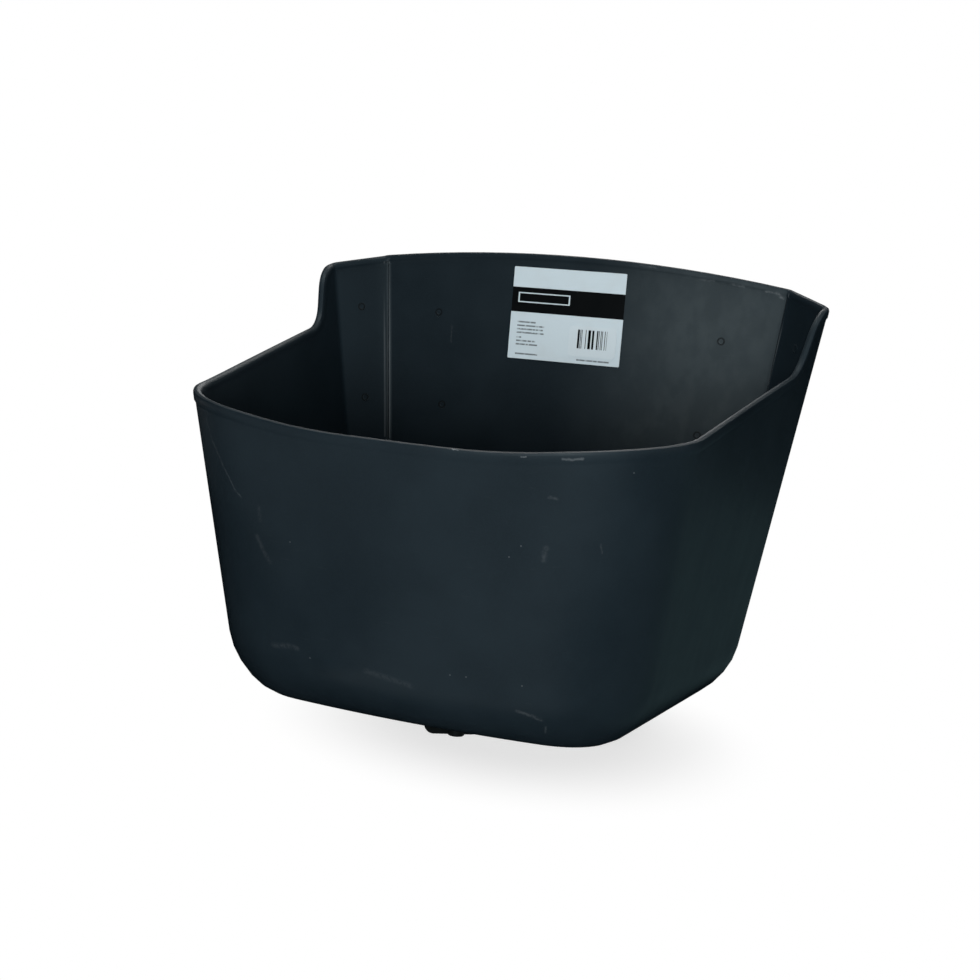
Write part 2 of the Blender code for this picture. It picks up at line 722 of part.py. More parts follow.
def sticker(name, width, height, thickness, corner, finish):
    """A thin sheet with round corners, its back on its own origin plane and its face towards -Y."""
    ring = []
    for quarter, (across, up) in enumerate(((1, 1), (-1, 1), (-1, -1), (1, -1))):
        centre = Vector((across * (width / 2 - corner), up * (height / 2 - corner)))
        for k in range(CORNER_STEPS + 1):
            ring.append(centre + direction(90 * (quarter + k / CORNER_STEPS)) * corner)
    rings = [[Vector((p.x, y, p.y)) for p in ring] for y in (0.0, -thickness)]
    return object_from(name, skin(rings), finish)


def label_height():
    """Height of the label's centre, whose highest corner clears the bead of the top edge."""
    edge = min(EDGE.height(distance)[0] for distance in (0.0, abs(LABEL_X) + LABEL_WIDTH / 2))
    turn = math.radians(LABEL_TURN)
    corner = LABEL_WIDTH / 2 * math.sin(turn) + LABEL_HEIGHT / 2 * math.cos(turn)
    return edge - INNER_BEAD_HEIGHT - INNER_BEAD_RUNOUT - LABEL_BEAD_GAP - corner


def stickers(carrier, paper, print_paper):
    """The label on the back wall and the small tag stuck on it."""
    label = sticker("label", LABEL_WIDTH, LABEL_HEIGHT, LABEL_THICKNESS, LABEL_CORNER, paper)
    label.location = (LABEL_X, -WALL - STICKER_GAP, label_height())
    label.rotation_euler = (0.0, -math.radians(LABEL_TURN), 0.0)
    label.parent = carrier
    tag = sticker("label_tag", TAG_WIDTH, TAG_HEIGHT, TAG_THICKNESS, TAG_CORNER, print_paper)
    tag.location = (TAG_X, -LABEL_THICKNESS - STICKER_GAP, TAG_Z)
    tag.parent = label


def empty(name, location, parent=None):
    made = bpy.data.objects.new(name, None)
    made.empty_display_size = WALL
    made.location = location
    made.parent = parent
    bpy.context.scene.collection.objects.link(made)
    return made


def main():
    clear_scene()
    plastic = material("black_polypropylene", (0.020, 0.027, 0.031), 0.42)
    plug_plastic = material("drain_plastic", (0.008, 0.010, 0.010), 0.38)
    rubber = material("seal_rubber", (0.015, 0.015, 0.015), 0.75)
    paper = material("label_paper", (0.55, 0.62, 0.66), 0.35)
    tag_paper = material("tag_paper", (0.62, 0.67, 0.70), 0.40)

    front_reach = -wall_point(HALF_LENGTH, FRONT_HEIGHT - RIM_ROUND, -LIP).y
    trough = empty("trough_frame", (0.0, front_reach / 2, NUT_REACH))
    drain_place = (0.0, -DRAIN_DISTANCE, 0.0)
    plug_axis = empty("plug_axis", drain_place, trough)
    nut_axis = empty("nut_axis", drain_place, trough)
    nut_axis.rotation_euler.z = math.radians(NUT_TURN)

    trough_shell(trough, drain_place, plastic)
    drain_plug(plug_axis, plug_plastic)
    plug_seal(plug_axis, rubber)
    drain_nut(nut_axis, plug_plastic)
    stickers(trough, paper, tag_paper)
    bpy.context.view_layer.update()


main()
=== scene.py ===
"""Looks of the moulded feed trough: camera, lamps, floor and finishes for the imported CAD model.

Every place is in metres in the CAD's frame: +Z up, the back towards +Y and the front towards -Y.
A pixel is counted from the top left corner of the photograph.
"""

import math

import bpy
from mathutils import Matrix, Vector


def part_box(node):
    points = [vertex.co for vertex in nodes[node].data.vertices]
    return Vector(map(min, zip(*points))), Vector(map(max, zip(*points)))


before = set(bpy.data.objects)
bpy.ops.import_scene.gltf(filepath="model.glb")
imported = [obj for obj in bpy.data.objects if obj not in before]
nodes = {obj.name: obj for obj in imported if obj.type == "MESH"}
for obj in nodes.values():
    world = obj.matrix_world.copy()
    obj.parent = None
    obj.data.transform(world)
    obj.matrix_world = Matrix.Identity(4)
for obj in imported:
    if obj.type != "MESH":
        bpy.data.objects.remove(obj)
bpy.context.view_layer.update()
scene = bpy.context.scene
scene.view_settings.view_transform = "Standard"

WHITE = (1.0, 1.0, 1.0, 1.0)
BLACK = (0.0, 0.0, 0.0, 1.0)

# Height of the trough's underside above the lowest point of its wing nut
UNDERSIDE = 0.0231
# Point on the trough's back face, in its plane of symmetry and level with its underside
TROUGH_ORIGIN = Vector((0.0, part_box("trough_shell")[1].y, UNDERSIDE))

# Camera that took the photograph
AZIMUTH = math.radians(19.864)
ELEVATION = math.radians(5.6725)
ROLL = math.radians(5.6433)
CAMERA_DISTANCE = 1.1704
CAMERA_TARGET = TROUGH_ORIGIN + Vector((-0.0084817, -0.1335, 0.14128))
PHOTO_PIXELS = 980
FOCAL_PIXELS = 1682.2
SENSOR_MILLIMETRES = 36.0

# The photographed trough stands tipped back on its drain nut and its rear edge
FLOOR_TILT = math.radians(8.7)
FLOOR_TOUCH = Vector((0.0, -0.0093, 0.0))


def camera_axes():
    """The camera's right, up and backward directions."""
    level = Vector((math.cos(AZIMUTH), math.sin(AZIMUTH), 0.0))
    back = Vector((math.sin(AZIMUTH) * math.cos(ELEVATION), -math.cos(AZIMUTH) * math.cos(ELEVATION),
                   math.sin(ELEVATION)))
    upright = back.cross(level)
    right = math.cos(ROLL) * level + math.sin(ROLL) * upright
    up = math.cos(ROLL) * upright - math.sin(ROLL) * level
    return right, up, back


RIGHT, UP, BACK = camera_axes()
CAMERA_PLACE = CAMERA_TARGET + BACK * CAMERA_DISTANCE


def add_camera():
    """The photograph's camera."""
    data = bpy.data.cameras.new("camera")
    data.sensor_width = SENSOR_MILLIMETRES
    data.lens = SENSOR_MILLIMETRES * FOCAL_PIXELS / PHOTO_PIXELS
    camera = bpy.data.objects.new("camera", data)
    turn = Matrix((RIGHT, UP, BACK)).transposed().to_4x4()
    camera.matrix_world = Matrix.Translation(CAMERA_PLACE) @ turn
    scene.collection.objects.link(camera)
    scene.camera = camera


def shell_at(pixel):
    """Point of the trough's shell that the camera sees at a pixel of the photograph."""
    across = (pixel[0] - PHOTO_PIXELS / 2) / FOCAL_PIXELS
    above = (PHOTO_PIXELS / 2 - pixel[1]) / FOCAL_PIXELS
    ray = (RIGHT * across + UP * above - BACK).normalized()
    hit, place = nodes["trough_shell"].ray_cast(CAMERA_PLACE, ray)[:2]
    if not hit:
        raise ValueError(f"nothing of the shell at {pixel}")
    return place


SCALAR = "ShaderNodeMath"
VECTOR = "ShaderNodeVectorMath"
# Numbers of the colour sockets of the Mix node
MIX_FIRST = 6
MIX_SECOND = 7
MIX_RESULT = 2


def feed(tree, socket, value):
    """Links an output to a socket, or sets the socket to a constant."""
    if isinstance(value, bpy.types.NodeSocket):
        tree.links.new(value, socket)
    else:
        socket.default_value = value


def work_out(tree, kind, operation, *values):
    """First output of a new node for scalars or vectors, with its sockets fed in order."""
    node = tree.nodes.new(kind)
    node.operation = operation
    for socket, value in zip(node.inputs, values):
        feed(tree, socket, value)
    return node.outputs[0]


class Finish:
    """A material in the making. Most methods add nodes and give back the output that they end in."""

    def __init__(self, name):
        self.material = bpy.data.materials.new(name)
        self.material.use_nodes = True
        self.tree = self.material.node_tree
        self.shader = self.tree.nodes["Principled BSDF"]
        self.place = self.add("ShaderNodeTexCoord").outputs["Object"]

    def add(self, kind, **settings):
        """A new node with some of its properties set."""
        node = self.tree.nodes.new(kind)
        for key, value in settings.items():
            setattr(node, key, value)
        return node

    def feed(self, socket, value):
        """Links an output to a socket of the material, or sets the socket to a constant."""
        feed(self.tree, socket, value)

    def set(self, **values):
        """Feeds the shader's sockets, named with underscores for spaces."""
        for name, value in values.items():
            self.feed(self.shader.inputs[name.replace("_", " ")], value)

    def math(self, operation, *values, clamp=False):
        """Result of a scalar operation."""
        result = work_out(self.tree, SCALAR, operation, *values)
        result.node.use_clamp = clamp
        return result

    def vector(self, operation, *values):
        """Result of a vector operation, which is a number for a dot product or a length."""
        node = self.add(VECTOR, operation=operation)
        if operation == "SCALE":
            self.feed(node.inputs["Vector"], values[0])
            self.feed(node.inputs["Scale"], values[1])
        else:
            for socket, value in zip(node.inputs, values):
                self.feed(socket, value)
        return node.outputs["Value" if operation in ("DOT_PRODUCT", "LENGTH") else "Vector"]

    def noise(self, size, detail, stretch=(1.0, 1.0, 1.0)):
        """Noise from 0 to 1 with patches about as wide as size, drawn out where stretch is below 1."""
        node = self.add("ShaderNodeTexNoise")
        self.feed(node.inputs["Vector"], self.vector("MULTIPLY", self.place, stretch))
        node.inputs["Scale"].default_value = 1.0 / size
        node.inputs["Detail"].default_value = detail
        return node.outputs["Fac"]

    def ramp(self, value, start, end, low=0.0, high=1.0):
        """Smooth step of a value from low at start to high at end."""
        node = self.add("ShaderNodeMapRange", interpolation_type="SMOOTHSTEP")
        for socket, given in zip(node.inputs, (value, start, end, low, high)):
            self.feed(socket, given)
        return node.outputs["Result"]

    def blend(self, share, first, second):
        """Colour between two colours."""
        node = self.add("ShaderNodeMix", data_type="RGBA")
        self.feed(node.inputs["Factor"], share)
        self.feed(node.inputs[MIX_FIRST], first)
        self.feed(node.inputs[MIX_SECOND], second)
        return node.outputs[MIX_RESULT]

    def most(self, values):
        """The largest of several values."""
        result = values[0]
        for value in values[1:]:
            result = self.math("MAXIMUM", result, value)
        return result

    def facing(self, direction):
        """How far the surface faces a direction, from -1 to 1."""
        normal = self.add("ShaderNodeNewGeometry").outputs["Normal"]
        return self.vector("DOT_PRODUCT", normal, direction)

    def offset_from(self, place):
        """Vector from a place to the point that is shaded."""
        return self.vector("SUBTRACT", self.place, tuple(place))

    def to_segment(self, point, start, end):
        """Distance from a point to the straight line between two places."""
        run = end - start
        offset = self.vector("SUBTRACT", point, tuple(start))
        along = self.vector("DOT_PRODUCT", offset, tuple(run))
        share = self.math("MULTIPLY", along, 1.0 / run.length_squared, clamp=True)
        nearest = self.vector("SCALE", tuple(run), share)
        return self.vector("LENGTH", self.vector("SUBTRACT", offset, nearest))

    def bump(self, height, distance, strength):
        """Fine relief, in which a height of 1 is the distance in metres."""
        node = self.add("ShaderNodeBump")
        node.inputs["Strength"].default_value = strength
        node.inputs["Distance"].default_value = distance
        self.feed(node.inputs["Height"], height)
        self.feed(self.shader.inputs["Normal"], node.outputs["Normal"])

    def dress(self, node):
        """Puts the material on a CAD node."""
        slots = nodes[node].data.materials
        slots.clear()
        slots.append(self.material)


# A pattern holds what Finish.noise takes: size, detail and, where it is drawn out, stretch.
# A step holds what Finish.ramp takes after the value: start, end and, unless 0 and 1, low and high.

# Colours of the trough's plastic and of what shows on it
TROUGH_DEEP = (0.0066, 0.0115, 0.0156, 1.0)
TROUGH_PALE = (0.0086, 0.0146, 0.0194, 1.0)
TROUGH_GRAIN = (0.0100, 0.0180, 0.0235, 1.0)
HAZE_AND_REFLECTION_COLOUR = (0.100, 0.124, 0.132, 1.0)
WORN_COLOUR = (0.120, 0.150, 0.165, 1.0)
DUST_AND_TOP_LIGHT_COLOUR = (0.100, 0.120, 0.128, 1.0)
# Painted shade in the creases and ring marks
PAINTED_SHADE_COLOUR = (0.0020, 0.0030, 0.0036, 1.0)
# Scratches, nicks, specks and hairlines, and the painted highlights of creases and ring marks
MARK_AND_GLINT_COLOUR = (0.42, 0.47, 0.50, 1.0)

# How strongly the plastic mirrors, and in which tone
SHEEN = 0.08
SHEEN_TINT = (0.82, 0.96, 1.0, 1.0)

CLOUD_PATTERN = (0.055, 3.0)
CLOUD_STEP = (0.30, 0.70)
GRAIN_PATTERN = (0.0011, 2.0)
GRAIN_STEP = (0.35, 0.75, 0.0, 0.30)
STREAK_PATTERN = (0.012, 3.0, (1.0, 1.0, 0.12))
PATCH_PATTERN = (0.020, 4.0)
PIT_PATTERN = (0.004, 2.0)
RELIEF_SHARE = 0.5
RELIEF_HEIGHT = 0.00006
RELIEF_STRENGTH = 0.6

# Roughness of the clean plastic, and how much streaks, marks and haze add to it
SATIN_STEP = (0.25, 0.75, 0.33, 0.41)
STREAK_ROUGHNESS = 0.05
MARK_ROUGHNESS = 0.25
HAZE_ROUGHNESS = 0.06

# Marks of use, as the pixels that each stroke runs through, its width in metres and how white it is
SCRATCHES = (
    (((206, 418), (212, 440), (222, 463), (234, 488), (241, 497)), 0.0010, 0.055),
    (((259, 508), (260, 520)), 0.0026, 0.018),
    (((257, 536), (264, 552), (270, 562)), 0.0028, 0.024),
    (((274, 645), (287, 646), (297, 648)), 0.0034, 0.027),
    (((366, 671), (384, 677), (410, 686)), 0.0040, 0.020),
    (((517, 711), (529, 715), (541, 720)), 0.0024, 0.050),
    (((546, 727), (545, 733)), 0.0012, 0.050),
    (((549, 497), (557, 499)), 0.0018, 0.045),
    (((546, 548), (543, 560)), 0.0030, 0.036),
    (((601, 545), (602, 553)), 0.0010, 0.035),
    (((452, 325), (451, 342)), 0.0012, 0.030),
    (((700, 279.5), (714, 281)), 0.0018, 0.050),
    (((731, 284), (744, 287)), 0.0018, 0.070),
    (((766, 291.5), (776, 293.5)), 0.0018, 0.130),
    (((777, 294), (783, 298)), 0.0024, 0.160),
    (((640, 265), (656, 267.5)), 0.0012, 0.080),
)
RIM_NICKS = (
    (((563, 459), (573, 460), (583, 459)), 0.0014, 0.11),
    (((452, 449), (458, 450)), 0.0008, 0.35),
    (((521, 457), (526, 457)), 0.0007, 0.25),
)
# How far from its middle line a stroke has faded out, as a share of its width
STROKE_REACH_SHARE = 0.85
# Scratches and nicks waver within this width in metres, in so many waves a metre. Scratches are broken.
WAVER_WIDTH = 0.0016
WAVER_SCALE = 450.0
WAVER_MIDDLE = (0.5, 0.5, 0.5)
BREAK_PATTERN = (0.0022, 3.0)
BREAK_STEP = (0.36, 0.58, 0.25, 1.0)

SPECK_PIXELS = ((310, 658), (466, 677), (450, 675), (290, 542), (521, 546), (509, 557), (634, 473),
                (522, 686))
SPECK_WIDTH = 0.0006
SPECK_WHITE = 0.22
HAIR_PATTERN = (0.0016, 2.0, (0.12, 0.12, 1.0))
HAIR_STEP = (0.66, 0.84, 0.0, 0.008)

# Painted highlights along the fine ridges of the creases, and painted shade in the gap between two of them
CREASE_HIGHLIGHTS = (
    (((384.4, 262), (384.6, 350), (384.8, 436)), 0.0012, 0.10),
    (((389.0, 262), (389.2, 350), (389.4, 437)), 0.0012, 0.10),
    (((789.0, 294), (779.0, 340), (768.4, 385)), 0.0009, 0.10),
)
CREASE_SHADE_LINES = (
    (((386.8, 262), (387.0, 350), (387.2, 436)), 0.0010, 0.80),
)

# Ring marks that show where to drill: a painted shade line, and inside it a painted glint at the lower left
RING_PIXELS = ((438.9, 312.0), (441.9, 404.2), (721.0, 341.4), (697.0, 435.2), (361.6, 306.5),
               (365.0, 397.0))
RING_RADIUS = 0.0024
RING_WIDTH = 0.0011
RING_SHADE_SHARES = (0.3, 0.7)
RING_SHADE_DARKNESS = 0.85
GLINT_RADIUS_SHARE = 0.62
GLINT_WIDTH_SHARE = 0.6
GLINT_SIDE = (-0.6, 0.0, -0.8)
GLINT_WHITE = 0.06

# Pale haze and a painted reflection of a lamp on the inside of the back wall, round some pixels and as far
# as it reaches in metres
HAZE_AND_REFLECTION_PIXELS = ((705, 330), (745, 330), (725, 390), (700, 430))
HAZE_AND_REFLECTION_REACH = 0.120
HAZE_AND_REFLECTION_SHARE = 0.30
HAZE_AND_REFLECTION_PATTERN = (0.013, 4.0, (1.0, 1.0, 0.7))
HAZE_AND_REFLECTION_STEP = (0.38, 0.66, 0.74, 1.0)
FORWARD = (0.0, -1.0, 0.0)
FORWARD_STEP = (0.90, 0.98)

# Dust and painted light from above on what faces up
DUST_AND_TOP_LIGHT_SHARE = 0.16
DUST_AND_TOP_LIGHT_PATCH_STEP = (0.30, 0.70, 0.7, 1.0)
UPWARD = (0.0, 0.0, 1.0)
UPWARD_STEP = (0.10, 0.85)

# Wear along edges, which are where a normal rounded by this radius bends away from the surface's own
WORN_SHARE = 0.10
WORN_RADIUS = 0.0015
WORN_SAMPLES = 4
WORN_BEND_STEP = (0.02, 0.16)
WORN_PATCH_STEP = (0.38, 0.66, 0.15, 1.0)


def strokes(finish, point, marks):
    """How strongly the strokes show at a point."""
    found = []
    for pixels, width, white in marks:
        places = [shell_at(pixel) for pixel in pixels]
        for start, end in zip(places, places[1:]):
            distance = finish.to_segment(point, start, end)
            found.append(finish.ramp(distance, 0.0, width * STROKE_REACH_SHARE, white, 0.0))
    return finish.most(found)


def spots(finish, pixels, reach, white):
    """How strongly each of some round spots shows."""
    found = []
    for pixel in pixels:
        distance = finish.vector("LENGTH", finish.offset_from(shell_at(pixel)))
        found.append(finish.ramp(distance, 0.0, reach, white, 0.0))
    return found


def wavering_place(finish):
    """The shaded point, shaken a little, so that strokes drawn by it waver."""
    waves = finish.add("ShaderNodeTexNoise")
    waves.inputs["Scale"].default_value = WAVER_SCALE
    finish.feed(waves.inputs["Vector"], finish.place)
    shake = finish.vector("SUBTRACT", waves.outputs["Color"], WAVER_MIDDLE)
    return finish.vector("ADD", finish.place, finish.vector("SCALE", shake, WAVER_WIDTH))


def marks_of_use(finish):
    """Whiteness of scratches, nicks on the rim, specks and faint level hairlines."""
    point = wavering_place(finish)
    broken = finish.ramp(finish.noise(*BREAK_PATTERN), *BREAK_STEP)
    scratches = finish.math("MULTIPLY", strokes(finish, point, SCRATCHES), broken)
    nicks = strokes(finish, point, RIM_NICKS)
    specks = spots(finish, SPECK_PIXELS, SPECK_WIDTH, SPECK_WHITE)
    hairs = finish.ramp(finish.noise(*HAIR_PATTERN), *HAIR_STEP)
    return finish.most([scratches, nicks, hairs] + specks)


def back_wall_haze_and_reflection(finish):
    """Strength of the patchy haze and painted lamp reflection, which lie only on what faces forward."""
    patches = finish.ramp(finish.noise(*HAZE_AND_REFLECTION_PATTERN), *HAZE_AND_REFLECTION_STEP)
    haze_and_reflection = finish.math("MULTIPLY", finish.most(spots(finish, HAZE_AND_REFLECTION_PIXELS, HAZE_AND_REFLECTION_REACH, 1.0)), patches)
    return finish.math("MULTIPLY", haze_and_reflection, finish.ramp(finish.facing(FORWARD), *FORWARD_STEP))


def upward_dust_and_top_light(finish, patches):
    """Paleness of what faces up, from dust and painted light from above, a little uneven from patch to
    patch.
    """
    facing_up = finish.ramp(finish.facing(UPWARD), *UPWARD_STEP)
    return finish.math("MULTIPLY", facing_up, finish.ramp(patches, *DUST_AND_TOP_LIGHT_PATCH_STEP))


def ring_shade_and_glints(finish):
    """Darkness of each ring's painted shade line, and whiteness of each ring's painted glint."""
    shade_rings, painted_glints_and_marks = [], []
    line_start, line_end = (RING_WIDTH * share for share in RING_SHADE_SHARES)
    for pixel in RING_PIXELS:
        offset = finish.offset_from(shell_at(pixel))
        distance = finish.vector("LENGTH", offset)
        off_line = finish.math("ABSOLUTE", finish.math("SUBTRACT", distance, RING_RADIUS))
        shade_rings.append(finish.ramp(off_line, line_start, line_end, RING_SHADE_DARKNESS, 0.0))
        beyond = finish.math("SUBTRACT", distance, RING_RADIUS * GLINT_RADIUS_SHARE)
        off_glint = finish.math("ABSOLUTE", beyond)
        painted_glint = finish.ramp(off_glint, 0.0, RING_WIDTH * GLINT_WIDTH_SHARE, 1.0, 0.0)
        side = finish.vector("DOT_PRODUCT", offset, GLINT_SIDE)
        side = finish.ramp(side, 0.0, RING_RADIUS, 0.0, GLINT_WHITE)
        painted_glints_and_marks.append(finish.math("MULTIPLY", painted_glint, side))
    return shade_rings, painted_glints_and_marks


def worn_edges(finish, patches):
    """Wear along edges, uneven from patch to patch."""
    soft = finish.add("ShaderNodeBevel", samples=WORN_SAMPLES)
    soft.inputs["Radius"].default_value = WORN_RADIUS
    bend = finish.math("SUBTRACT", 1.0, finish.facing(soft.outputs["Normal"]))
    edge = finish.ramp(bend, *WORN_BEND_STEP)
    return finish.math("MULTIPLY", edge, finish.ramp(patches, *WORN_PATCH_STEP))


def trough_finish():
    """Blue-black polypropylene: satin, faintly cloudy, scuffed, its edge a little worn, with painted light
    and shade on creases, ring marks, upward faces and back wall.
    """
    finish = Finish("trough_polypropylene")
    clouds = finish.noise(*CLOUD_PATTERN)
    grain = finish.noise(*GRAIN_PATTERN)
    patches = finish.noise(*PATCH_PATTERN)
    marks = marks_of_use(finish)
    haze_and_reflection = back_wall_haze_and_reflection(finish)
    dust_and_top_light = upward_dust_and_top_light(finish, patches)
    worn = worn_edges(finish, patches)
    ring_painted_shade, ring_painted_glints = ring_shade_and_glints(finish)
    painted_shade_lines = finish.most([strokes(finish, finish.place, CREASE_SHADE_LINES)] + ring_painted_shade)
    painted_glints_and_marks = finish.most([marks, strokes(finish, finish.place, CREASE_HIGHLIGHTS)] + ring_painted_glints)

    colour = finish.blend(finish.ramp(clouds, *CLOUD_STEP), TROUGH_DEEP, TROUGH_PALE)
    colour = finish.blend(finish.ramp(grain, *GRAIN_STEP), colour, TROUGH_GRAIN)
    # Pale patches on the back wall: partly haze, partly a painted reflection of a lamp
    colour = finish.blend(finish.math("MULTIPLY", haze_and_reflection, HAZE_AND_REFLECTION_SHARE), colour, HAZE_AND_REFLECTION_COLOUR)
    colour = finish.blend(finish.math("MULTIPLY", worn, WORN_SHARE), colour, WORN_COLOUR)
    # Paler on what faces up: dust and painted light from above
    colour = finish.blend(finish.math("MULTIPLY", dust_and_top_light, DUST_AND_TOP_LIGHT_SHARE), colour, DUST_AND_TOP_LIGHT_COLOUR)
    # Painted shade in the creases and ring marks
    colour = finish.blend(painted_shade_lines, colour, PAINTED_SHADE_COLOUR)
    # Marks of use, and painted highlights on creases and ring marks
    colour = finish.blend(painted_glints_and_marks, colour, MARK_AND_GLINT_COLOUR)

    satin = finish.ramp(clouds, *SATIN_STEP)
    streaks = finish.noise(*STREAK_PATTERN)
    for value, roughness in ((streaks, STREAK_ROUGHNESS), (marks, MARK_ROUGHNESS), (haze_and_reflection, HAZE_ROUGHNESS)):
        satin = finish.math("ADD", satin, finish.math("MULTIPLY", value, roughness))
    finish.set(Base_Color=colour, Roughness=satin, Specular_IOR_Level=SHEEN, Specular_Tint=SHEEN_TINT)

    pits = finish.math("MULTIPLY", finish.noise(*PIT_PATTERN), RELIEF_SHARE)
    relief = finish.math("ADD", finish.math("MULTIPLY", grain, RELIEF_SHARE), pits)
    finish.bump(relief, RELIEF_HEIGHT, RELIEF_STRENGTH)
    return finish


DRAIN_DEEP = (0.0022, 0.0030, 0.0032, 1.0)
DRAIN_PALE = (0.0040, 0.0052, 0.0056, 1.0)
DRAIN_RUBBED = (0.06, 0.07, 0.07, 1.0)
DRAIN_SHEEN = 0.02
DRAIN_CLOUD_PATTERN = (0.008, 3.0)
DRAIN_CLOUD_STEP = (0.3, 0.7)
DRAIN_ROUGHNESS_STEP = (0.25, 0.75, 0.30, 0.42)
DRAIN_GRAIN_PATTERN = (0.0007, 2.0)
DRAIN_RUB_PATTERN = (0.0030, 4.0, (1.0, 1.0, 0.35))
DRAIN_RUB_STEP = (0.58, 0.74, 0.0, 0.30)
DRAIN_RUB_SHARE = 0.08
DRAIN_RELIEF_HEIGHT = 0.00006
DRAIN_RELIEF_STRENGTH = 0.6


def drain_finish():
    """Black moulded plastic of plug and wing nut, rubbed in patches."""
    finish = Finish("drain_black")
    clouds = finish.noise(*DRAIN_CLOUD_PATTERN)
    grain = finish.noise(*DRAIN_GRAIN_PATTERN)
    rubbed = finish.ramp(finish.noise(*DRAIN_RUB_PATTERN), *DRAIN_RUB_STEP)
    colour = finish.blend(finish.ramp(clouds, *DRAIN_CLOUD_STEP), DRAIN_DEEP, DRAIN_PALE)
    colour = finish.blend(finish.math("MULTIPLY", rubbed, DRAIN_RUB_SHARE), colour, DRAIN_RUBBED)
    finish.set(Base_Color=colour, Roughness=finish.ramp(clouds, *DRAIN_ROUGHNESS_STEP))
    finish.set(Specular_IOR_Level=DRAIN_SHEEN, Specular_Tint=SHEEN_TINT)
    finish.bump(finish.math("ADD", grain, rubbed), DRAIN_RELIEF_HEIGHT, DRAIN_RELIEF_STRENGTH)
    return finish


RUBBER = (0.010, 0.010, 0.010, 1.0)
RUBBER_BLOOM = (0.035, 0.034, 0.032, 1.0)
RUBBER_BLOOM_SHARE = 0.35
RUBBER_SHEEN = 0.25
RUBBER_BLOOM_PATTERN = (0.0035, 4.0)
RUBBER_BLOOM_STEP = (0.45, 0.75)
RUBBER_ROUGHNESS_STEP = (0.0, 1.0, 0.66, 0.82)
RUBBER_GRAIN_PATTERN = (0.0005, 2.0)
RUBBER_RELIEF_HEIGHT = 0.00008
RUBBER_RELIEF_STRENGTH = 0.7


def seal_finish():
    """Matt black rubber with a dusty bloom."""
    finish = Finish("seal_rubber")
    bloom = finish.ramp(finish.noise(*RUBBER_BLOOM_PATTERN), *RUBBER_BLOOM_STEP)
    colour = finish.blend(finish.math("MULTIPLY", bloom, RUBBER_BLOOM_SHARE), RUBBER, RUBBER_BLOOM)
    finish.set(Base_Color=colour, Roughness=finish.ramp(bloom, *RUBBER_ROUGHNESS_STEP))
    finish.set(Specular_IOR_Level=RUBBER_SHEEN)
    finish.bump(finish.noise(*RUBBER_GRAIN_PATTERN), RUBBER_RELIEF_HEIGHT, RUBBER_RELIEF_STRENGTH)
    return finish


LABEL_PAPER = (0.55, 0.655, 0.705, 1.0)
TAG_PAPER = (0.576, 0.672, 0.718, 1.0)
INK = (0.0022, 0.0030, 0.0034, 1.0)
SOIL = (0.46, 0.50, 0.50, 1.0)
FIBRES = (0.40, 0.44, 0.46, 1.0)
PAPER_SHEEN = 0.025
SOIL_SHARE = 0.18
SOIL_PATTERN = (0.018, 4.0)
SOIL_STEP = (0.45, 0.80)
FIBRE_PATTERN = (0.0006, 3.0)
FIBRE_STEP = (0.4, 0.7, 0.0, 0.05)
PAPER_ROUGHNESS_STEP = (0.0, 1.0, 0.34, 0.48)
PAPER_WAVE_PATTERN = (0.016, 1.0)
FIBRE_RELIEF_SHARE = 0.03
PAPER_RELIEF_HEIGHT = 0.0004
PAPER_RELIEF_STRENGTH = 0.5

# Places on the stickers are shares of their width from the left and of their height from the top
LABEL_TURN = math.radians(0.8)
MIDDLE_SHARE = 0.5
# The label's black band, from top to bottom, and the strip outlined in it: left, right, top, bottom
BAND_SHARES = (0.22, 0.49)
STRIP_SHARES = (0.055, 0.52, 0.275, 0.385)
STRIP_LINE_SHARE = 0.012
# Rows of dashes below it: left end, right end and top. A dash's cell is as high as two rows.
ROW_SHARES = ((0.065, 0.23, 0.590), (0.065, 0.31, 0.630), (0.065, 0.30, 0.668), (0.065, 0.31, 0.706),
              (0.065, 0.11, 0.758), (0.065, 0.24, 0.796), (0.065, 0.26, 0.834), (0.065, 0.27, 0.938),
              (0.62, 0.91, 0.952))
ROW_HEIGHT_SHARE = 0.017
DASH_HEIGHT_SHARE = 2 * ROW_HEIGHT_SHARE
DASH_COUNT = 75.0
DASH_STEP = (0.0, 0.5, 0.25, 0.70)
# The tag's block of bars: left, right, top, bottom. Then the bars in a tag's width, and the share of
# them that stays blank.
BAR_SHARES = (0.16, 0.80, 0.12, 0.74)
BAR_COUNT = 72.0
BAR_BLANK_SHARE = 0.45


def sheet_shares(finish, node):
    """Shares across and down a sticker that is turned by the label's turn."""
    low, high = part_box(node)
    size = high - low
    cosine, sine = math.cos(LABEL_TURN), math.sin(LABEL_TURN)
    spread = cosine * cosine - sine * sine
    width = (size.x * cosine - size.z * sine) / spread
    height = (size.z * cosine - size.x * sine) / spread
    offset = finish.offset_from((low + high) / 2)
    along = (cosine / width, 0.0, sine / width)
    down = (sine / height, 0.0, -cosine / height)
    across = finish.math("ADD", finish.vector("DOT_PRODUCT", offset, along), MIDDLE_SHARE)
    below = finish.math("ADD", finish.vector("DOT_PRODUCT", offset, down), MIDDLE_SHARE)
    return across, below


def between(finish, value, low, high):
    """1 where a value lies between two limits."""
    above = finish.math("GREATER_THAN", value, low)
    return finish.math("MULTIPLY", above, finish.math("LESS_THAN", value, high))


def printed_box(finish, across, below, left, right, top, bottom):
    """1 inside a printed rectangle."""
    return finish.math("MULTIPLY", between(finish, across, left, right), between(finish, below, top, bottom))


def cell_number(finish, value, count):
    """Which of so many cells in a row a share lies in."""
    return finish.math("FLOOR", finish.math("MULTIPLY", value, count))


